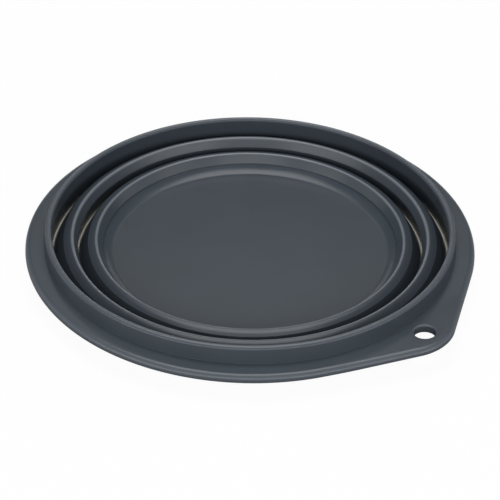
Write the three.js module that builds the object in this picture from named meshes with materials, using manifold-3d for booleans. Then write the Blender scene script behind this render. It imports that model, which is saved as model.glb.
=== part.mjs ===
// A collapsible silicone travel bowl, folded flat as it lies on a table.
// Millimetres, +Z up. The origin is the centre of the base's underside, on the table.
//
// The bowl is a round half-section turned about Z. From the axis outwards it runs floor, cove wall, base
// ring, lower fold, middle wall, middle ring, upper fold, rim wall, lip and brim. A fold is a thin web that
// comes down from a ring to a thinner U-shaped hinge, and it turns inside out when its tier is pulled up.
// The brim carries a tab with a hole, to hang the bowl by.

import * as THREE from 'three';
import { mergeVertices } from 'three/addons/utils/BufferGeometryUtils.js';
import Module from 'manifold-3d';

// Gap left between neighbouring zones of the moulding.
const SEAM = 0.25;

// Widths, each measured outwards from the feature before it.
const FLOOR_RADIUS = 61.9;
const COVE_WIDTH = 4.3;
const BASE_INNER_FLANK = 2.55;
const BASE_OUTER_FLANK = 4.0;
const LOWER_FOLD_WIDTH = 5.35;
const MIDDLE_WALL_LEAN = 0.85;
const MIDDLE_INNER_FLANK = 1.95;
const MIDDLE_OUTER_FLANK = 4.3;
const UPPER_FOLD_WIDTH = 5.9;
const RIM_WALL_LEAN = 1.1;
const LIP_WIDTH = 3.0;
const LIP_FLARE = 0.8;
const BRIM_WIDTH = 8.45;

// Heights above the table. A crest's height is that of its corner before it is rounded.
const FLOOR_THICKNESS = 3.2;
const BASE_CREST_HEIGHT = 11.15;
const LOWER_HINGE_HEIGHT = 0.2;
const MIDDLE_CREST_HEIGHT = 13.8;
const UPPER_HINGE_HEIGHT = 1.5;
const BRIM_UNDERSIDE_HEIGHT = 7.6;
const LIP_HEIGHT = 18.5;

// Falls of the rings' flanks below their crests.
const BASE_INNER_FALL = 4.3;
const BASE_OUTER_FALL = 1.5;
const MIDDLE_INNER_FALL = 4.7;
const MIDDLE_OUTER_FALL = 2.1;

// Thicknesses and small radii of the moulding.
const RING_THICKNESS = 2.4;
const CREST_RADIUS = 1.0;
const WALL_THICKNESS = 2.0;
const WEB_THICKNESS = 1.4;
const WEB_ARCH = THREE.MathUtils.degToRad(8);
const HINGE_THICKNESS = 0.8;
const HINGE_BEND_RADIUS = 0.5;
const BRIM_THICKNESS = 3.5;
const BRIM_EDGE_RADIUS = 1.6;
const COVE_SLOPE_AT_FLOOR = THREE.MathUtils.degToRad(18);
const COVE_RADIUS = 2.2;
const FOOT_WIDTH = 2.6;
const FOOT_CHAMFER = 0.6;

// The hang tab, which points along +X and is tilted up, and its hole.
const TAB_LENGTH = 10.75;
const TAB_TIP_RADIUS = 22.7;
const TAB_TILT_DEGREES = 4.5;
const TAB_BEND_FROM_LIP = 1.0;
const HANG_HOLE_DIAMETER = 9.2;
const HANG_HOLE_FROM_TIP = 10.0;

// Facet counts.
const TURN_STEPS = 64;
const COVE_STEPS = 4;
const CREST_STEPS = 3;
const WEB_STEPS = 4;
const BEND_STEPS = 5;
const LIP_STEPS = 6;
const TIP_STEPS = 10;
const HOLE_STEPS = 24;
const EDGE_STEPS = 3;

const QUARTER_TURN = Math.PI / 2;

// Plane helpers. A section point is (radius, height).

const at = (r, z) => new THREE.Vector2(r, z);
const along = (point, direction, distance) => point.clone().addScaledVector(direction, distance);
const directionOf = (angle) => at(Math.cos(angle), Math.sin(angle));
const headingFrom = (start, end) => end.clone().sub(start).normalize();
const leftOf = (direction) => at(-direction.y, direction.x);

function arc(centre, radius, from, to, steps) {
  const points = [];
  for (let i = 0; i <= steps; i += 1) {
    points.push(along(centre, directionOf(from + ((to - from) * i) / steps), radius));
  }
  return points;
}

// Where the line from start along heading meets the line through point along direction.
function meet(start, heading, point, direction) {
  const toPoint = point.clone().sub(start);
  return along(start, heading, toPoint.cross(direction) / heading.cross(direction));
}

// The touching point of the straight line from a point to a circle. Turn is 1 where the circle lies to the
// left of that line and -1 where it lies to the right.
function touch(point, centre, radius, turn) {
  const toCentre = centre.clone().sub(point);
  const reach = toCentre.length();
  const heading = directionOf(toCentre.angle() - turn * Math.asin(radius / reach));
  return along(point, heading, Math.sqrt(reach * reach - radius * radius));
}

// A corner replaced by an arc that is tangent to both of its sides.
function roundedCorner(before, corner, after, radius, steps) {
  const inward = headingFrom(before, corner);
  const outward = headingFrom(corner, after);
  const turn = Math.atan2(inward.cross(outward), inward.dot(outward));
  const setback = radius * Math.tan(Math.abs(turn) / 2);
  const start = along(corner, inward, -setback);
  const centre = along(start, leftOf(inward), Math.sign(turn) * radius);
  const from = start.clone().sub(centre).angle();
  return arc(centre, radius, from, from + turn, steps);
}

// Section of a strip whose upper side runs straight from start to end. Its two ends are cut along given
// directions, and its thickness lies to the right of the run.
function stripSection(start, startCut, end, endCut, thickness) {
  const heading = headingFrom(start, end);
  const under = along(start, leftOf(heading), -thickness);
  return [start, end, meet(under, heading, end, endCut), meet(under, heading, start, startCut)];
}

// A roof-shaped ring: its crest and its two lower edges.
function roof(innerRadius, innerFlank, outerFlank, crestHeight, innerFall, outerFall) {
  const inner = at(innerRadius, crestHeight - innerFall);
  const crest = at(innerRadius + innerFlank, crestHeight);
  const outer = at(crest.x + outerFlank, crestHeight - outerFall);
  const innerHeading = headingFrom(inner, crest);
  const outerHeading = headingFrom(crest, outer);
  return { inner, crest, outer, innerHeading, outerHeading };
}

// A ring's section, cut square to its inner flank at one end and square to the web at the other.
function roofSection({ inner, crest, outer, innerHeading, outerHeading }, webHeading) {
  const underInner = along(inner, leftOf(innerHeading), -RING_THICKNESS);
  const underside = along(crest, leftOf(outerHeading), -RING_THICKNESS);
  const underOuter = meet(underside, outerHeading, outer, leftOf(webHeading));
  const underCrest = meet(underInner, innerHeading, underside, outerHeading);
  const rounded = roundedCorner(inner, crest, outer, CREST_RADIUS, CREST_STEPS);
  return [inner, ...rounded, outer, underOuter, underCrest, underInner];
}

// A fold from a ring's outer edge down to its hinge's bend and up to the wall that hangs from wallTop. The
// web is an arc that touches the hinge's bend. It leaves the ring flatter than a straight web would.
function fold(ring, hingeCentre, wallTop) {
  const straightEnd = touch(ring.outer, hingeCentre, HINGE_BEND_RADIUS, 1);
  const webHeading = headingFrom(ring.outer, straightEnd).rotateAround(at(0, 0), WEB_ARCH);
  const upward = leftOf(webHeading);
  const toRing = ring.outer.clone().sub(hingeCentre);
  const reach = 2 * (toRing.dot(upward) + HINGE_BEND_RADIUS);
  const webRadius = (toRing.lengthSq() - HINGE_BEND_RADIUS ** 2) / reach;
  const webCentre = along(ring.outer, upward, -webRadius);
  const toWeb = headingFrom(hingeCentre, webCentre);
  const wallEnd = touch(wallTop, hingeCentre, HINGE_BEND_RADIUS, -1);
  const wallHeading = headingFrom(wallEnd, wallTop);
  const seamAngle = SEAM / webRadius;
  const webFrom = upward.angle() - seamAngle;
  const webTo = toWeb.angle() - Math.PI + seamAngle;
  const webSide = (radius) => arc(webCentre, radius, webFrom, webTo, WEB_STEPS);
  const bendFrom = toWeb.angle() - 2 * Math.PI;
  const bendTo = wallHeading.angle() - QUARTER_TURN;
  const bendSide = (radius) => arc(hingeCentre, radius, bendFrom, bendTo, BEND_STEPS);
  return {
    web: [...webSide(webRadius), ...webSide(webRadius - WEB_THICKNESS).reverse()],
    hinge: [...bendSide(HINGE_BEND_RADIUS), ...bendSide(HINGE_BEND_RADIUS + HINGE_THICKNESS).reverse()],
    webHeading,
    wallStart: along(wallEnd, wallHeading, SEAM),
    wallHeading,
  };
}

// The half-section, worked out from the axis outwards.

const hingeOuterRadius = HINGE_BEND_RADIUS + HINGE_THICKNESS;

const baseRing = roof(
  FLOOR_RADIUS + COVE_WIDTH,
  BASE_INNER_FLANK,
  BASE_OUTER_FLANK,
  BASE_CREST_HEIGHT,
  BASE_INNER_FALL,
  BASE_OUTER_FALL,
);
const lowerHingeCentre = at(baseRing.outer.x + LOWER_FOLD_WIDTH, LOWER_HINGE_HEIGHT + hingeOuterRadius);
const middleRing = roof(
  lowerHingeCentre.x - MIDDLE_WALL_LEAN,
  MIDDLE_INNER_FLANK,
  MIDDLE_OUTER_FLANK,
  MIDDLE_CREST_HEIGHT,
  MIDDLE_INNER_FALL,
  MIDDLE_OUTER_FALL,
);
const middleWallTop = along(middleRing.inner, middleRing.innerHeading, -SEAM);
const lowerFold = fold(baseRing, lowerHingeCentre, middleWallTop);

const upperHingeCentre = at(middleRing.outer.x + UPPER_FOLD_WIDTH, UPPER_HINGE_HEIGHT + hingeOuterRadius);
const lipRadius = LIP_WIDTH / 2;
const lipInner = at(upperHingeCentre.x - RIM_WALL_LEAN, LIP_HEIGHT - lipRadius);
const upperFold = fold(middleRing, upperHingeCentre, lipInner);
const level = at(1, 0);
const rimWallTop = meet(lipInner, upperFold.wallHeading, at(0, BRIM_UNDERSIDE_HEIGHT - SEAM), level);
const lipBottom = meet(lipInner, upperFold.wallHeading, at(0, BRIM_UNDERSIDE_HEIGHT), level);
const lipFoot = lipInner.x + LIP_WIDTH + LIP_FLARE;
const brimTop = BRIM_UNDERSIDE_HEIGHT + BRIM_THICKNESS;
const brimRadius = lipFoot + BRIM_WIDTH;

function floorSection() {
  const edge = FLOOR_RADIUS - SEAM / 2;
  return [at(0, 0), at(edge, 0), at(edge, FLOOR_THICKNESS), at(0, FLOOR_THICKNESS)];
}

// The wall that sweeps up from the floor to the base ring, hollow on its inner side, with a flat foot.
function coveSection() {
  const inside = FLOOR_RADIUS + SEAM / 2;
  const outside = FLOOR_RADIUS + FOOT_WIDTH;
  const bottom = at(inside, FLOOR_THICKNESS);
  const top = along(baseRing.inner, baseRing.innerHeading, -SEAM);
  const knee = at(top.x, bottom.y + (top.x - bottom.x) * Math.tan(COVE_SLOPE_AT_FLOOR));
  const cove = [top, ...roundedCorner(top, knee, bottom, COVE_RADIUS, COVE_STEPS), bottom];
  const backTop = along(top, leftOf(baseRing.innerHeading), -RING_THICKNESS);
  return [at(inside, 0), at(outside - FOOT_CHAMFER, 0), at(outside, FOOT_CHAMFER), backTop, ...cove];
}

function middleWallSection() {
  const { wallStart, wallHeading } = lowerFold;
  const topCut = leftOf(middleRing.innerHeading);
  return stripSection(wallStart, leftOf(wallHeading), middleWallTop, topCut, WALL_THICKNESS);
}

function rimWallSection() {
  const { wallStart, wallHeading } = upperFold;
  return stripSection(wallStart, leftOf(wallHeading), rimWallTop, level, WALL_THICKNESS);
}

function lipSection() {
  const crown = arc(at(lipInner.x + lipRadius, lipInner.y), lipRadius, 0, Math.PI, LIP_STEPS);
  return [lipBottom, at(lipFoot, BRIM_UNDERSIDE_HEIGHT), at(lipFoot, brimTop), ...crown];
}

// Solids.

function turned(section) {
  const profile = THREE.ShapeUtils.isClockWise(section) ? section.toReversed() : section;
  if (profile[0].x > 0) {
    profile.push(profile[0].clone());
  }
  return new THREE.LatheGeometry(profile, TURN_STEPS).rotateX(QUARTER_TURN);
}

const wasm = await Module();
wasm.setup();

function solidOf(geometry) {
  const bare = geometry.clone();
  bare.deleteAttribute('normal');
  bare.deleteAttribute('uv');
  const merged = mergeVertices(bare);
  const vertProperties = new Float32Array(merged.attributes.position.array);
  const triVerts = new Uint32Array(merged.index.array);
  return new wasm.Manifold(new wasm.Mesh({ numProp: 3, vertProperties, triVerts }));
}

function geometryOf(solid) {
  const { vertProperties, triVerts } = solid.getMesh();
  const geometry = new THREE.BufferGeometry();
  geometry.setAttribute('position', new THREE.BufferAttribute(vertProperties, 3));
  geometry.setIndex(new THREE.BufferAttribute(triVerts, 1));
  geometry.computeVertexNormals();
  return geometry;
}

// The tab's outline is the brim's circle and the tip's circle joined by their common tangents, which
// touch both circles at this angle to the tab's direction.
const tabTip = brimRadius + TAB_LENGTH;
const tipCentre = at(tabTip - TAB_TIP_RADIUS, 0);
const tangentAngle = Math.acos((brimRadius - TAB_TIP_RADIUS) / tipCentre.x);

// A flat plate in the brim's thickness, with rounded edges, that fills the whole outline.
function brimPlate() {
  const brimArc = arc(at(0, 0), brimRadius, tangentAngle, 2 * Math.PI - tangentAngle, TURN_STEPS);
  const tipArc = arc(tipCentre, TAB_TIP_RADIUS, -tangentAngle, tangentAngle, TIP_STEPS);
  return new THREE.ExtrudeGeometry(new THREE.Shape([...brimArc, ...tipArc]), {
    depth: BRIM_THICKNESS - 2 * BRIM_EDGE_RADIUS,
    bevelThickness: BRIM_EDGE_RADIUS,
    bevelSize: BRIM_EDGE_RADIUS,
    bevelOffset: -BRIM_EDGE_RADIUS,
    bevelSegments: EDGE_STEPS,
  }).translate(0, 0, BRIM_UNDERSIDE_HEIGHT + BRIM_EDGE_RADIUS);
}

// A wedge about +X, as deep as the brim with room to spare, whose sides lie a distance outside the
// tab's tangent angle.
function tabWedge(distance) {
  const apex = at(-distance / Math.sin(tangentAngle), 0);
  const reach = 2 * tabTip;
  const corners = [-tangentAngle, tangentAngle].map((angle) => along(apex, directionOf(angle), reach));
  const depth = 3 * BRIM_THICKNESS;
  return new THREE.ExtrudeGeometry(new THREE.Shape([apex, ...corners]), { depth, bevelEnabled: false })
    .translate(0, 0, BRIM_UNDERSIDE_HEIGHT - BRIM_THICKNESS);
}

// An upright cylinder about Z, long enough to pass right through the bowl.
function bore(radius, steps) {
  return new THREE.CylinderGeometry(radius, radius, 2 * LIP_HEIGHT, steps).rotateX(QUARTER_TURN);
}

const lipRoom = bore(lipFoot + SEAM, TURN_STEPS);
const hangHole = bore(HANG_HOLE_DIAMETER / 2, HOLE_STEPS).translate(tabTip - HANG_HOLE_FROM_TIP, 0, 0);
const brimAndTab = solidOf(brimPlate()).subtract(solidOf(lipRoom)).subtract(solidOf(hangHole));

// The tab's outer part, beyond a straight bend just outside the lip, turned up about its lower edge.
function tiltedTab() {
  const bend = lipFoot + TAB_BEND_FROM_LIP;
  const flat = brimAndTab.intersect(solidOf(tabWedge(0)));
  const root = flat.trimByPlane([-1, 0, 0], -bend);
  const end = flat.trimByPlane([1, 0, 0], bend)
    .translate([-bend, 0, -BRIM_UNDERSIDE_HEIGHT])
    .rotate([0, -TAB_TILT_DEGREES, 0])
    .translate([bend, 0, BRIM_UNDERSIDE_HEIGHT]);
  return root.add(end);
}

// The bowl.

const silicone = new THREE.MeshStandardMaterial({ color: '#4a4e54', roughness: 0.6, metalness: 0 });
const thinSilicone = new THREE.MeshStandardMaterial({ color: '#8a887c', roughness: 0.6, metalness: 0 });

const bowl = new THREE.Group();

function addPiece(name, geometry, material) {
  const piece = new THREE.Mesh(geometry, material);
  piece.name = name;
  bowl.add(piece);
}

addPiece('base_floor', turned(floorSection()), silicone);
addPiece('base_wall', turned(coveSection()), silicone);
addPiece('base_ring', turned(roofSection(baseRing, lowerFold.webHeading)), silicone);
addPiece('lower_fold_web', turned(lowerFold.web), silicone);
addPiece('lower_fold_hinge', turned(lowerFold.hinge), thinSilicone);
addPiece('middle_wall', turned(middleWallSection()), silicone);
addPiece('middle_ring', turned(roofSection(middleRing, upperFold.webHeading)), silicone);
addPiece('upper_fold_web', turned(upperFold.web), silicone);
addPiece('upper_fold_hinge', turned(upperFold.hinge), thinSilicone);
addPiece('rim_wall', turned(rimWallSection()), silicone);
addPiece('rim_lip', turned(lipSection()), silicone);
addPiece('rim_brim', geometryOf(brimAndTab.subtract(solidOf(tabWedge(SEAM)))), silicone);
addPiece('hang_tab', geometryOf(tiltedTab()), silicone);

export default bowl;
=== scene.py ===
"""A collapsible silicone travel bowl, folded flat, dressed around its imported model.

The bowl is one moulding: a half-section turned about Z, with a brim that runs out to a pierced tab.
Its stiff zones ride on the three bodies, and the thin webs of its two folds bend between them.
Sections are worked out in millimetres and scaled to metres when a piece is finished.
"""

import math
from collections import namedtuple

import bmesh
import bpy
from mathutils import Matrix, Vector
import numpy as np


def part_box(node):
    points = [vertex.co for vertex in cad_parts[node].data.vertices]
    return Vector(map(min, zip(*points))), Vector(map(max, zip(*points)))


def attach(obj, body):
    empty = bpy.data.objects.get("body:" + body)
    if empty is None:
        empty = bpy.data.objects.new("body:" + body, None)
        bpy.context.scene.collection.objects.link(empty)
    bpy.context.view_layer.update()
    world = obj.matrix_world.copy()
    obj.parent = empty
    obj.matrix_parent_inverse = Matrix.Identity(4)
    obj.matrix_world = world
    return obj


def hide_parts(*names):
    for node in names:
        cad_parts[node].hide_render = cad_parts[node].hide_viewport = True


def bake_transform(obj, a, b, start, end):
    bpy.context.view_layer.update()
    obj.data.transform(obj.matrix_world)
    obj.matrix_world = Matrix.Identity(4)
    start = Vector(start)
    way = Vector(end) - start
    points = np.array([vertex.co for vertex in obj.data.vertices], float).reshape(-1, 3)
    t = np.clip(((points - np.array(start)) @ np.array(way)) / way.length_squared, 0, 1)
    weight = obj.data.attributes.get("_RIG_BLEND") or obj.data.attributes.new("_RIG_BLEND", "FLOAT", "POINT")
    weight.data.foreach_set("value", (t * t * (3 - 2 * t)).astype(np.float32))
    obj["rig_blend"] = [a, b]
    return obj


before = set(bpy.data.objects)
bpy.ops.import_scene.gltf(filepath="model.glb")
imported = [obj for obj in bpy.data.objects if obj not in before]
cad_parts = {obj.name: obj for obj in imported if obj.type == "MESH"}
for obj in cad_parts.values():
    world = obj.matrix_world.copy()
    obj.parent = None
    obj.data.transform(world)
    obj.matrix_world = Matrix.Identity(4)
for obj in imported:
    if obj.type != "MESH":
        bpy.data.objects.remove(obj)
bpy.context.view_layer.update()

MM = 0.001
FULL_TURN = 2 * math.pi

# Finish of the meshes: steps round the bowl, in a rounded corner, round a hinge's bend, along a web and
# round the hang hole, the sharpest edge that is shaded smooth, the bevel's setting for a round corner,
# and the distance in mm within which points merge.
TURN_STEPS = 192
CORNER_STEPS = 8
BEND_STEPS = 14
WEB_STEPS = 20
HOLE_STEPS = 64
SMOOTH_ANGLE = math.radians(50)
ROUND_PROFILE = 0.5
MERGE_DISTANCE = 0.00025

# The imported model's zones stand this far apart. The dressed bowl has no such gaps.
ZONE_SEAM = 0.25

# Widths of the moulding's zones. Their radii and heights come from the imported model.
COVE_LEAN = 0.1
BASE_INNER_FLANK = 2.55
BASE_OUTER_FLANK = 4.0
MIDDLE_INNER_FLANK = 1.95
MIDDLE_OUTER_FLANK = 4.3
LIP_WIDTH = 3.0
LIP_FLARE = 0.8

# Falls of the rings' flanks below the corners of their crests.
BASE_INNER_FALL = 4.3
BASE_OUTER_FALL = 1.5
MIDDLE_INNER_FALL = 4.7
MIDDLE_OUTER_FALL = 2.1

# Thicknesses, arches, slopes and small radii.
RING_THICKNESS = 2.4
WALL_THICKNESS = 2.0
WEB_THICKNESS = 1.4
HINGE_THICKNESS = 0.9
HINGE_BEND_RADIUS = 0.4
WEB_ARCH = math.radians(8)
FLANK_ARCH = math.radians(8)
FLANK_ARCH_RADIUS = 6.0
CREST_RADIUS = 1.4
COVE_RADIUS = 8.0
CREASE_RADIUS = 0.4
FLOOR_CREASE_RADIUS = 1.5
COVE_SLOPE_AT_FLOOR = math.radians(15)
COVE_SLOPE_AT_WALL = math.radians(45)
FOOT_WIDTH = 2.6
FOOT_RADIUS = 0.6
LIP_FILLET_RADIUS = 0.15
LIP_FOOT_SINK = 0.02
BRIM_TOP_RADIUS = 2.5
BRIM_BOTTOM_RADIUS = 0.9

# The hang tab, which bends up just outside the lip. Its hole is set in a patch of its flat faces.
TAB_LENGTH = 10.75
TAB_TIP_RADIUS = 22.7
TAB_TILT = math.radians(4.5)
TAB_BEND_FROM_LIP = 1.0
TAB_BEND_LENGTH = 6.0
TAB_BEND_CUTS = 8
TAB_PATCH_ANGLE = math.radians(15.5)
HANG_HOLE_DIAMETER = 9.2
HANG_HOLE_FROM_TIP = 10.0
HOLE_TOP_RADIUS = 0.7
HOLE_BOTTOM_RADIUS = 0.1

# Painted highlight on the crests, the lip and the brim's edges, and painted light over the brim's flat
# faces, from 0 to 1, and the layer of the meshes that holds it.
CREST_PAINTED_HIGHLIGHT = 0.75
LIP_PAINTED_HIGHLIGHT = 0.35
BRIM_EDGE_PAINTED_HIGHLIGHT = 0.3
BRIM_PAINTED_LIGHT = 0.04
PAINTED_LIGHT_LAYER = "painted_light_layer"

# A corner of a section: its place, the radius that rounds it and the painted highlight on it.
Corner = namedtuple("Corner", "point bend wear", defaults=(0, 0))


# Plane helpers. A section point is (radius, height).

def at(radius, height):
    return Vector((radius, height))


def heading(start, end):
    return (end - start).normalized()


def sloping(angle):
    return at(math.cos(angle), math.sin(angle))


def left_of(direction):
    return Vector((-direction.y, direction.x))


def crossing(start, direction, other, other_direction):
    """Where a line from start meets a line through other."""
    reach = (other - start).cross(other_direction) / direction.cross(other_direction)
    return start + direction * reach


def touch(point, centre, radius, side):
    """Where a line from point touches a circle, which lies to its left if side is 1 and right if -1."""
    to_centre = centre - point
    reach = to_centre.length
    swing = Matrix.Rotation(-side * math.asin(radius / reach), 2)
    return point + swing @ to_centre.normalized() * math.sqrt(reach * reach - radius * radius)


# The half-section's main points, from the axis outwards.

def outer_radius(node):
    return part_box(node)[1].x / MM


def top_of(node):
    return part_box(node)[1].z / MM


def bottom_of(node):
    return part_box(node)[0].z / MM


Ring = namedtuple("Ring", "inner crest arch outer")


def ring(node, inner_flank, outer_flank, inner_fall, outer_fall):
    """A roof-shaped ring: its inner edge, its crest's corner, its outer flank's arch and its outer edge.

    Rounding takes off the corner, so the crest's corner is higher than the ring's top.
    """
    inner_slope = math.atan2(inner_fall, inner_flank)
    outer_slope = math.atan2(outer_fall, outer_flank) - FLANK_ARCH
    corner_reach = math.cos((inner_slope - outer_slope) / 2) / math.cos((inner_slope + outer_slope) / 2)
    outer_edge = outer_radius(node)
    crest = at(outer_edge - outer_flank, top_of(node) + CREST_RADIUS * (corner_reach - 1))
    outer = at(outer_edge, crest.y - outer_fall)
    along = heading(crest, outer)
    upper_half = Matrix.Rotation(FLANK_ARCH, 2) @ along
    lower_half = Matrix.Rotation(-FLANK_ARCH, 2) @ along
    arch = crossing(crest, upper_half, outer, lower_half)
    return Ring(crest - at(inner_flank, inner_fall), crest, arch, outer)


base_ring = ring("base_ring", BASE_INNER_FLANK, BASE_OUTER_FLANK, BASE_INNER_FALL, BASE_OUTER_FALL)
middle_ring = ring("middle_ring", MIDDLE_INNER_FLANK, MIDDLE_OUTER_FLANK, MIDDLE_INNER_FALL,
                   MIDDLE_OUTER_FALL)

lip_top = top_of("rim_lip")
lip_foot = outer_radius("rim_lip")
lip_outer = lip_foot - LIP_FLARE
lip_inner = lip_outer - LIP_WIDTH
lip_crown = LIP_WIDTH / 2
lip_shoulder = at(lip_inner, lip_top - lip_crown)
brim_top = top_of("rim_brim")
brim_bottom = bottom_of("rim_brim")
brim_radius = -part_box("rim_brim")[0].x / MM
tab_tip = brim_radius + TAB_LENGTH
tip_centre = tab_tip - TAB_TIP_RADIUS
hole_centre = Vector((tab_tip - HANG_HOLE_FROM_TIP, 0, 0))
tab_angle = math.acos((brim_radius - TAB_TIP_RADIUS) / tip_centre)

Fold = namedtuple("Fold", "centre web_centre web_start web_end wall_end wall_heading")


def fold(node, ring_above, wall_top):
    """A fold's lines: a web arched down from a ring's outer edge, the hinge's bend and the wall."""
    bend_reach = HINGE_BEND_RADIUS + HINGE_THICKNESS
    centre = at(outer_radius(node) - bend_reach, bottom_of(node) + bend_reach)
    straight_end = touch(ring_above.outer, centre, HINGE_BEND_RADIUS, 1)
    leaving = Matrix.Rotation(WEB_ARCH, 2) @ heading(ring_above.outer, straight_end)
    upward = left_of(leaving)
    to_ring = ring_above.outer - centre
    reach = 2 * (to_ring.dot(upward) + HINGE_BEND_RADIUS)
    web_radius = (to_ring.length_squared - HINGE_BEND_RADIUS ** 2) / reach
    web_centre = ring_above.outer - upward * web_radius
    web_end = centre + heading(centre, web_centre) * HINGE_BEND_RADIUS
    wall_end = touch(wall_top, centre, HINGE_BEND_RADIUS, -1)
    return Fold(centre, web_centre, ring_above.outer, web_end, wall_end, heading(wall_end, wall_top))


lower_fold = fold("lower_fold_hinge", base_ring, middle_ring.inner)
upper_fold = fold("upper_fold_hinge", middle_ring, lip_shoulder)


# Meshes.

def soften(section, corner_vertex, radius, wear):
    """Rounds one corner of a section and marks its painted highlight, which is strongest at the corner's
    top.
    """
    corner = corner_vertex.co.copy()
    sides = [edge.other_vert(corner_vertex).co - corner for edge in corner_vertex.link_edges]
    setback = radius * math.tan((math.pi - sides[0].angle(sides[1])) / 2)
    rounded = bmesh.ops.bevel(
        section, geom=[corner_vertex], offset=setback, offset_type="OFFSET", segments=CORNER_STEPS,
        profile=ROUND_PROFILE, affect="VERTICES")["verts"]
    if wear:
        painted_light_layer = section.verts.layers.float[PAINTED_LIGHT_LAYER]
        nearest = min((vertex.co - corner).length for vertex in rounded)
        for vertex in rounded:
            vertex[painted_light_layer] = wear * (setback - (vertex.co - corner).length) / (setback - nearest)


def section_of(corners, closed=True):
    """A section drawn through its corners in the XZ plane, with its bends rounded."""
    section = bmesh.new()
    section.verts.layers.float.new(PAINTED_LIGHT_LAYER)
    vertices = [section.verts.new((corner.point.x, 0, corner.point.y)) for corner in corners]
    for vertex, following in zip(vertices, vertices[1:]):
        section.edges.new((vertex, following))
    if closed:
        section.edges.new((vertices[-1], vertices[0]))
    for vertex, corner in zip(vertices, corners):
        if corner.bend:
            soften(section, vertex, corner.bend, corner.wear)
    return section


def sweep(section, start, centre, end, steps):
    """Sweeps section points that lie along start round a centre in the XZ plane, as far as end."""
    angle = heading(centre, start).angle_signed(heading(centre, end))
    bmesh.ops.spin(section, geom=section.verts[:] + section.edges[:], cent=(centre.x, 0, centre.y),
                   axis=(0, 1, 0), angle=angle, steps=steps)


def turn(section, centre=(0, 0, 0), steps=TURN_STEPS):
    """Turns a section fully about an upright axis and closes its seam and poles."""
    bmesh.ops.spin(section, geom=section.verts[:] + section.edges[:], cent=centre, axis=(0, 0, 1),
                   angle=FULL_TURN, steps=steps, use_merge=True)
    bmesh.ops.remove_doubles(section, verts=section.verts, dist=MERGE_DISTANCE)
    bmesh.ops.recalc_face_normals(section, faces=section.faces)


def finished(name, mesh_work, material):
    """A piece of the bowl in metres, shaded smooth but for its sharp edges."""
    bmesh.ops.scale(mesh_work, vec=(MM, MM, MM), verts=mesh_work.verts)
    mesh_work.normal_update()
    for face in mesh_work.faces:
        face.smooth = True
    for edge in mesh_work.edges:
        edge.smooth = edge.calc_face_angle(math.pi) < SMOOTH_ANGLE
    mesh = bpy.data.meshes.new(name)
    mesh_work.to_mesh(mesh)
    mesh_work.free()
    mesh.materials.append(material)
    piece = bpy.data.objects.new(name, mesh)
    bpy.context.scene.collection.objects.link(piece)
    return piece


def shade_flats(piece):
    """Keeps the shading of broad faces flat up to the rounded edges beside them."""
    piece.modifiers.new("flat_faces", "WEIGHTED_NORMAL").keep_sharp = True


# Materials.

SILICONE_IOR = 1.41


def linear(hex_colour):
    """An sRGB hex colour as linear red, green, blue and alpha."""
    parts = [int(hex_colour[i:i + 2], 16) / 255 for i in (1, 3, 5)]
    return [c / 12.92 if c <= 0.04045 else ((c + 0.055) / 1.055) ** 2.4 for c in parts] + [1]


def add_node(tree, kind, inputs, **settings):
    """Adds a node with its settings. An input is a value, or another node's output to link."""
    node = tree.nodes.new(kind)
    for name, value in settings.items():
        setattr(node, name, value)
    for socket, value in inputs.items():
        if isinstance(value, bpy.types.NodeSocket):
            tree.links.new(value, node.inputs[socket])
        else:
            node.inputs[socket].default_value = value
    return node


def noise(tree, size, detail):
    """Noise with features of about this size in mm, fixed to the piece."""
    place = add_node(tree, "ShaderNodeTexCoord", {}).outputs["Object"]
    return add_node(tree, "ShaderNodeTexNoise", {
        "Vector": place, "Scale": 1 / (size * MM), "Detail": detail}).outputs["Fac"]


def mix(tree, factor, first, second):
    return add_node(tree, "ShaderNodeMix", {"Factor": factor, "A": first, "B": second},
                    data_type="RGBA").outputs["Result"]


def between(tree, factor, least, most):
    return add_node(tree, "ShaderNodeMapRange", {
        "Value": factor, "To Min": least, "To Max": most}).outputs["Result"]


def calculate(tree, operation, first, second):
    return add_node(tree, "ShaderNodeMath", {0: first, 1: second}, operation=operation).outputs["Value"]


def new_material(name):
    material = bpy.data.materials.new(name)
    material.use_nodes = True
    material.node_tree.nodes.clear()
    return material


def slate_silicone(name, dark_tone, light_tone):
    """Moulded silicone rubber, pigmented slate grey.

    The mould is finely blasted, which gives a satin surface. Crests and edges carry a paler painted
    highlight, and the cured rubber has faint cloudy differences of tone.
    """
    # the colour of the painted highlight
    painted_highlight_tone = "#7b8188"
    cloud_size = 22
    grain_size = 0.45  # the blasted grain is nearer 0.1 mm, and is drawn coarser so that it shows
    grain_height = 0.006
    grain_strength = 0.6
    least_roughness = 0.26
    most_roughness = 0.32
    material = new_material(name)
    tree = material.node_tree
    cloud = noise(tree, cloud_size, detail=3)
    grain = noise(tree, grain_size, detail=2)
    # painted highlight on crests and edges, and painted light on the brim's flats, read from the meshes
    wear = add_node(tree, "ShaderNodeAttribute", {}, attribute_name=PAINTED_LIGHT_LAYER).outputs["Fac"]
    tone = mix(tree, cloud, linear(dark_tone), linear(light_tone))
    bump = add_node(tree, "ShaderNodeBump", {
        "Height": grain, "Distance": grain_height * MM, "Strength": grain_strength})
    shader = add_node(tree, "ShaderNodeBsdfPrincipled", {
        "Base Color": mix(tree, wear, tone, linear(painted_highlight_tone)),
        "Roughness": between(tree, cloud, least_roughness, most_roughness),
        "IOR": SILICONE_IOR,
        "Normal": bump.outputs["Normal"]})
    add_node(tree, "ShaderNodeOutputMaterial", {"Surface": shader.outputs["BSDF"]})
    return material


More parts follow.
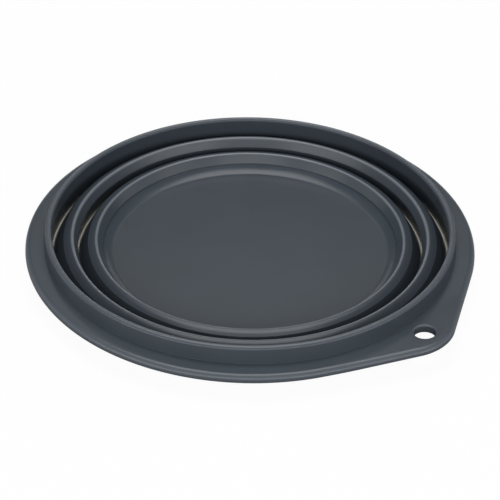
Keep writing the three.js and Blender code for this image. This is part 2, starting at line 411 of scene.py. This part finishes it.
def thin_silicone():
    """The same rubber drawn thin at a fold, where it lets light through and looks pale."""
    dark_tone = "#b4b2aa"
    light_tone = "#c6c4bb"
    cloud_size = 6
    least_roughness = 0.5
    most_roughness = 0.6
    light_let_through = 0.7
    material = new_material("thin_silicone")
    tree = material.node_tree
    cloud = noise(tree, cloud_size, detail=2)
    shader = add_node(tree, "ShaderNodeBsdfPrincipled", {
        "Base Color": mix(tree, cloud, linear(dark_tone), linear(light_tone)),
        "Roughness": between(tree, cloud, least_roughness, most_roughness),
        "IOR": SILICONE_IOR,
        "Transmission Weight": light_let_through})
    add_node(tree, "ShaderNodeOutputMaterial", {"Surface": shader.outputs["BSDF"]})
    return material


# The webs are a darker rubber: painted shade for the folds' deep grooves.
slate = slate_silicone("slate_silicone", "#3c434a", "#434b53")
painted_shade_slate = slate_silicone("painted_shade_silicone", "#2e3439", "#333a40")
thin = thin_silicone()


# Pieces.

def underside(lines, web_centre):
    """A ring's underside: the points below its web's start, its crest and its inner edge."""
    inner_heading = heading(lines.inner, lines.crest)
    outer_heading = heading(lines.crest, lines.outer)
    under_web = lines.outer + heading(lines.outer, web_centre) * WEB_THICKNESS
    under_outer = lines.outer - left_of(outer_heading) * RING_THICKNESS
    under_inner = lines.inner - left_of(inner_heading) * RING_THICKNESS
    under_crest = crossing(under_inner, inner_heading, under_outer, outer_heading)
    return under_web, under_crest, under_inner


def base_skin():
    """Floor, cove wall and base ring, as far as the start of the lower web."""
    floor_top = top_of("base_floor")
    floor_radius = outer_radius("base_floor") + ZONE_SEAM / 2
    cove_start = at(floor_radius, floor_top)
    cove_width = base_ring.inner.x - COVE_LEAN - floor_radius
    cove_side = cove_width / (math.cos(COVE_SLOPE_AT_FLOOR) + math.cos(COVE_SLOPE_AT_WALL))
    cove_bend = cove_start + sloping(COVE_SLOPE_AT_FLOOR) * cove_side
    knee = cove_bend + sloping(COVE_SLOPE_AT_WALL) * cove_side
    under_web, under_crest, under_inner = underside(base_ring, lower_fold.web_centre)
    section = section_of([
        Corner(at(0, floor_top)),
        Corner(cove_start, FLOOR_CREASE_RADIUS),
        Corner(cove_bend, COVE_RADIUS),
        Corner(knee, CREASE_RADIUS),
        Corner(base_ring.inner, CREASE_RADIUS),
        # the crest carries a painted highlight
        Corner(base_ring.crest, CREST_RADIUS, CREST_PAINTED_HIGHLIGHT),
        Corner(base_ring.arch, FLANK_ARCH_RADIUS),
        Corner(base_ring.outer),
        Corner(under_web),
        Corner(under_crest, CREASE_RADIUS),
        Corner(under_inner, CREASE_RADIUS),
        Corner(at(floor_radius + FOOT_WIDTH, 0), FOOT_RADIUS),
        Corner(at(0, 0)),
    ], closed=False)
    turn(section)
    piece = finished("base_skin", section, slate)
    shade_flats(piece)
    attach(piece, "base")
    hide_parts("base_floor", "base_wall", "base_ring")


def web(name, lines, moving_body, still_body, node):
    """A fold's web: its upper side as one sheet that bends, given its thickness afterwards."""
    section = bmesh.new()
    section.verts.new((lines.web_start.x, 0, lines.web_start.y))
    sweep(section, lines.web_start, lines.web_centre, lines.web_end, WEB_STEPS)
    turn(section)
    section.normal_update()
    if section.faces[0].normal.z < 0:
        bmesh.ops.reverse_faces(section, faces=section.faces)
    # the web's darker rubber is painted shade
    piece = finished(name, section, painted_shade_slate)
    thickness = piece.modifiers.new("thickness", "SOLIDIFY")
    thickness.thickness = WEB_THICKNESS * MM
    thickness.offset = -1  # all of it below the sheet
    low = Vector((0, 0, lines.web_end.y * MM))
    high = Vector((0, 0, lines.web_start.y * MM))
    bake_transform(piece, moving_body, still_body, start=low, end=high)
    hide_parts(node)


def hinge(name, lines, body, node):
    """A fold's living hinge: a thin strip bent round the valley between the web and the wall."""
    section = bmesh.new()
    outward = heading(lines.centre, lines.web_end)
    sides = [lines.web_end, lines.web_end + outward * HINGE_THICKNESS]
    section.edges.new([section.verts.new((point.x, 0, point.y)) for point in sides])
    sweep(section, lines.web_end, lines.centre, lines.wall_end, BEND_STEPS)
    bmesh.ops.delete(section, geom=section.faces[:], context="FACES_KEEP_BOUNDARY")
    turn(section)
    piece = finished(name, section, thin)
    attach(piece, body)
    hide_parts(node)


def middle_skin():
    """Middle wall and middle ring, as far as the start of the upper web."""
    under_web, under_crest, under_inner = underside(middle_ring, upper_fold.web_centre)
    inner_heading = heading(middle_ring.inner, middle_ring.crest)
    wall_back = lower_fold.wall_end - left_of(lower_fold.wall_heading) * WALL_THICKNESS
    wall_back_top = crossing(wall_back, lower_fold.wall_heading, under_inner, inner_heading)
    section = section_of([
        Corner(lower_fold.wall_end),
        Corner(middle_ring.inner, CREASE_RADIUS),
        # the crest carries a painted highlight
        Corner(middle_ring.crest, CREST_RADIUS, CREST_PAINTED_HIGHLIGHT),
        Corner(middle_ring.arch, FLANK_ARCH_RADIUS),
        Corner(middle_ring.outer),
        Corner(under_web),
        Corner(under_crest, CREASE_RADIUS),
        Corner(wall_back_top, CREASE_RADIUS),
        Corner(wall_back),
    ])
    turn(section)
    piece = finished("middle_skin", section, slate)
    shade_flats(piece)
    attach(piece, "middle")
    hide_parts("middle_wall", "middle_ring")


def rim_skin():
    """Rim wall and lip. The lip's outer side flares down to the brim and ends just under its top."""
    foot_reach = lip_foot + 2 * LIP_FILLET_RADIUS
    inside_brim = (brim_top + brim_bottom) / 2
    wall_back = upper_fold.wall_end - left_of(upper_fold.wall_heading) * WALL_THICKNESS
    wall_back_top = crossing(wall_back, upper_fold.wall_heading, at(0, inside_brim), at(1, 0))
    section = section_of([
        Corner(upper_fold.wall_end),
        Corner(at(lip_inner, lip_top), lip_crown),
        Corner(at(lip_outer, lip_top), lip_crown),
        Corner(at(lip_foot, brim_top), LIP_FILLET_RADIUS),
        Corner(at(foot_reach, brim_top - LIP_FOOT_SINK)),
        Corner(at(foot_reach, inside_brim)),
        Corner(wall_back_top),
        Corner(wall_back),
    ])
    # a painted highlight on the lip's crown, strongest at its top
    painted_light_layer = section.verts.layers.float[PAINTED_LIGHT_LAYER]
    for vertex in section.verts:
        vertex[painted_light_layer] = LIP_PAINTED_HIGHLIGHT * max(0, (vertex.co.z - lip_shoulder.y) / lip_crown) ** 2
    turn(section)
    piece = finished("rim_skin", section, slate)
    shade_flats(piece)
    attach(piece, "rim")
    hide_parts("rim_wall", "rim_lip")


def push_out_tab(plate, plate_inner):
    """Moves the brim's edge out to the tip's arc within the tab's angle, which leaves straight sides."""
    edge_tolerance = 0.25
    shift = brim_radius - TAB_TIP_RADIUS
    for vertex in plate.verts:
        radius = vertex.co.xy.length
        angle = math.atan2(vertex.co.y, vertex.co.x)
        if radius > plate_inner + edge_tolerance and abs(angle) < tab_angle:
            vertex.co.x += tip_centre - shift * math.cos(angle)
            vertex.co.y -= shift * math.sin(angle)


def pierce_tab(plate):
    """Opens a patch of the tab, sets the hole's rounded sleeve in it and fills the rest flat."""
    flat_enough = 0.999
    height_tolerance = 0.25
    flats = []
    for face in plate.faces:
        middle = face.calc_center_median()
        is_flat = abs(face.normal.z) > flat_enough
        if is_flat and middle.x > 0 and abs(math.atan2(middle.y, middle.x)) < TAB_PATCH_ANGLE:
            flats.append(face)
    bmesh.ops.delete(plate, geom=flats, context="FACES_KEEP_BOUNDARY")
    bore_side = hole_centre.x + HANG_HOLE_DIAMETER / 2
    # the hole's rounded top edge carries a painted highlight
    sleeve = section_of([
        Corner(at(bore_side + HOLE_TOP_RADIUS, brim_top)),
        Corner(at(bore_side, brim_top), HOLE_TOP_RADIUS, BRIM_EDGE_PAINTED_HIGHLIGHT),
        Corner(at(bore_side, brim_bottom), HOLE_BOTTOM_RADIUS),
        Corner(at(bore_side + HOLE_BOTTOM_RADIUS, brim_bottom)),
    ], closed=False)
    turn(sleeve, hole_centre, HOLE_STEPS)
    sleeve_mesh = bpy.data.meshes.new("hole_sleeve")
    sleeve.to_mesh(sleeve_mesh)
    sleeve.free()
    plate.from_mesh(sleeve_mesh)
    bpy.data.meshes.remove(sleeve_mesh)
    for height in (brim_top, brim_bottom):
        rim_edges = [edge for edge in plate.edges if edge.is_boundary
                     and all(abs(vertex.co.z - height) < height_tolerance for vertex in edge.verts)]
        bmesh.ops.triangle_fill(plate, use_beauty=True, use_dissolve=False, edges=rim_edges,
                                normal=(0, 0, 1))


def bend_tab(plate):
    """Bends the tab up about a round bend, which is cut into narrow strips first."""
    bend_start = lip_foot + TAB_BEND_FROM_LIP - TAB_BEND_LENGTH / 2
    bend_radius = TAB_BEND_LENGTH / TAB_TILT
    for cut in range(TAB_BEND_CUTS + 1):
        place = bend_start + TAB_BEND_LENGTH * cut / TAB_BEND_CUTS
        bmesh.ops.bisect_plane(plate, geom=plate.verts[:] + plate.edges[:] + plate.faces[:],
                               plane_co=(place, 0, 0), plane_no=(1, 0, 0))
    for vertex in plate.verts:
        run = vertex.co.x - bend_start
        if run > 0:
            bent = min(run, TAB_BEND_LENGTH)
            tilt = TAB_TILT * bent / TAB_BEND_LENGTH
            along = Vector((math.cos(tilt), 0, math.sin(tilt)))
            upward = Vector((-math.sin(tilt), 0, math.cos(tilt)))
            pivot = Vector((bend_start, vertex.co.y, brim_bottom + bend_radius))
            height = vertex.co.z - brim_bottom
            vertex.co = pivot + upward * (height - bend_radius) + along * (run - bent)


def brim_plate():
    """Flat brim with rounded edges, run out to the hang tab and its hole."""
    plate_inner = lip_foot - ZONE_SEAM
    # the rounded top edge carries a painted highlight
    plate = section_of([
        Corner(at(plate_inner, brim_top)),
        Corner(at(brim_radius, brim_top), BRIM_TOP_RADIUS, BRIM_EDGE_PAINTED_HIGHLIGHT),
        Corner(at(brim_radius, brim_bottom), BRIM_BOTTOM_RADIUS),
        Corner(at(plate_inner, brim_bottom)),
    ])
    # painted light over the whole brim and tab
    painted_light_layer = plate.verts.layers.float[PAINTED_LIGHT_LAYER]
    for vertex in plate.verts:
        vertex[painted_light_layer] = max(vertex[painted_light_layer], BRIM_PAINTED_LIGHT)
    turn(plate)
    push_out_tab(plate, plate_inner)
    pierce_tab(plate)
    bend_tab(plate)
    bmesh.ops.recalc_face_normals(plate, faces=plate.faces)
    piece = finished("brim_and_tab", plate, slate)
    shade_flats(piece)
    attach(piece, "rim")
    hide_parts("rim_brim", "hang_tab")


base_skin()
web("lower_web", lower_fold, "middle", "base", "lower_fold_web")
hinge("lower_hinge", lower_fold, "middle", "lower_fold_hinge")
middle_skin()
web("upper_web", upper_fold, "rim", "middle", "upper_fold_web")
hinge("upper_hinge", upper_fold, "rim", "upper_fold_hinge")
rim_skin()
brim_plate()


# Stage, light and camera. Angles round the studio are measured from the camera's side.

# The camera's distance from the middle of the lip, its sensor and its lens are in mm.
CAMERA_AZIMUTH = math.radians(44)
CAMERA_ELEVATION = math.radians(34.17)
CAMERA_DISTANCE = 700
CAMERA_ROLL = math.radians(0.89)
AIM_BELOW_LIP = math.radians(1.1)
SENSOR_WIDTH = 36
FOCAL_LENGTH = 112.75

# Sizes of the studio, in metres.
NEAREST_SEEN = 0.01
LAMP_DISTANCE = 1.5
SHEET_SIZE = 6
SHEET_BELOW_BOWL = 0.00005


def studio_direction(angle_from_camera, elevation):
    """The direction from the bowl to a place in the studio."""
    angle = CAMERA_AZIMUTH + angle_from_camera
    level = math.cos(elevation)
    return Vector((math.sin(angle) * level, -math.cos(angle) * level, math.sin(elevation)))


def photo_camera():
    """A camera at the photograph's place, aimed a little below the lip and rolled as the photo is."""
    towards = studio_direction(0, CAMERA_ELEVATION)
    right = Vector((math.cos(CAMERA_AZIMUTH), math.sin(CAMERA_AZIMUTH), 0))
    aim = Matrix.Rotation(-AIM_BELOW_LIP, 3, right)
    back = aim @ towards
    up = back.cross(right)
    axes = Matrix((right, up, back)).transposed()
    axes = axes @ Matrix.Rotation(CAMERA_ROLL, 3, "Z")
    camera_data = bpy.data.cameras.new("photo_camera")
    camera_data.sensor_width = SENSOR_WIDTH
    camera_data.lens = FOCAL_LENGTH
    camera_data.clip_start = NEAREST_SEEN
    camera = bpy.data.objects.new("photo_camera", camera_data)
    bpy.context.scene.collection.objects.link(camera)
    place = Vector((0, 0, lip_top)) + towards * CAMERA_DISTANCE
    camera.matrix_world = Matrix.Translation(place * MM) @ axes.to_4x4()
    bpy.context.scene.camera = camera


def white_paper():
    """Matt paper, pale grey in the studio's light.

    The camera sees it as white, also through thin rubber, and a little darker where the bowl shades it.
    """
    white_share = 0.9
    white_level = 1.06
    first_bounce = 0.5  # a path that has bounced off a matt surface has a diffuse depth of 1 or more
    material = new_material("white_paper")
    tree = material.node_tree
    path = add_node(tree, "ShaderNodeLightPath", {}).outputs
    looked_at = calculate(tree, "MAXIMUM", path["Is Camera Ray"], path["Is Transmission Ray"])
    unscattered = calculate(tree, "LESS_THAN", path["Diffuse Depth"], first_bounce)
    seen = calculate(tree, "MULTIPLY", looked_at, unscattered)
    share = calculate(tree, "MULTIPLY", seen, white_share)
    lit = add_node(tree, "ShaderNodeBsdfDiffuse", {"Color": linear("#b2b2b2")})
    white = add_node(tree, "ShaderNodeEmission", {"Color": linear("#ffffff"), "Strength": white_level})
    mixed = add_node(tree, "ShaderNodeMixShader", {
        0: share, 1: lit.outputs["BSDF"], 2: white.outputs["Emission"]})
    add_node(tree, "ShaderNodeOutputMaterial", {"Surface": mixed.outputs["Shader"]})
    return material


def white_floor():
    """A plain sheet of paper under the bowl."""
    work = bmesh.new()
    bmesh.ops.create_grid(work, x_segments=1, y_segments=1, size=SHEET_SIZE / 2,
                          matrix=Matrix.Translation((0, 0, -SHEET_BELOW_BOWL)))
    mesh = bpy.data.meshes.new("floor")
    work.to_mesh(mesh)
    work.free()
    mesh.materials.append(white_paper())
    floor = bpy.data.objects.new("floor", mesh)
    bpy.context.scene.collection.objects.link(floor)


def studio_world():
    """A dim grey room, which is white where the camera looks at it."""
    room_level = 0.03
    world = bpy.data.worlds.new("studio")
    bpy.context.scene.world = world
    world.use_nodes = True
    tree = world.node_tree
    tree.nodes.clear()
    seen = add_node(tree, "ShaderNodeLightPath", {}).outputs["Is Camera Ray"]
    background = add_node(tree, "ShaderNodeBackground", {
        "Color": linear("#ffffff"), "Strength": calculate(tree, "MAXIMUM", seen, room_level)})
    add_node(tree, "ShaderNodeOutputWorld", {"Surface": background.outputs["Background"]})


def soft_box(name, angle_from_camera, elevation, width, height, brightness):
    """A soft box that faces the bowl, with its angles in degrees and its size in metres.

    At brightness 1 its face is plain white.
    """
    light_data = bpy.data.lights.new(name, "AREA")
    light_data.shape = "RECTANGLE"
    light_data.size = width
    light_data.size_y = height
    light_data.energy = brightness * math.pi * width * height
    light = bpy.data.objects.new(name, light_data)
    bpy.context.scene.collection.objects.link(light)
    away = studio_direction(math.radians(angle_from_camera), math.radians(elevation))
    facing = away.to_track_quat("Z", "Y").to_matrix().to_4x4()
    light.matrix_world = Matrix.Translation(away * LAMP_DISTANCE) @ facing


photo_camera()
white_floor()
studio_world()

# Each box: its angle round the studio, its elevation, its width and height, and its brightness.
soft_box("overhead_box", 180, 78, 1.15, 0.9, 4.4)
soft_box("front_box", 0, 25, 1.3, 0.38, 4.5)
soft_box("left_box", -48, 16, 1.3, 0.42, 4.2)
soft_box("right_box", 48, 16, 1.3, 0.42, 4.0)
soft_box("left_side_box", -92, 13, 1.2, 0.3, 1.4)
soft_box("right_side_box", 92, 13, 1.2, 0.3, 1.4)
soft_box("back_box", 180, 41, 0.8, 0.3, 1.2)
soft_box("backdrop", 180, 8, 1.2, 0.25, 2.0)
bpy.context.scene.view_settings.view_transform = "Standard"
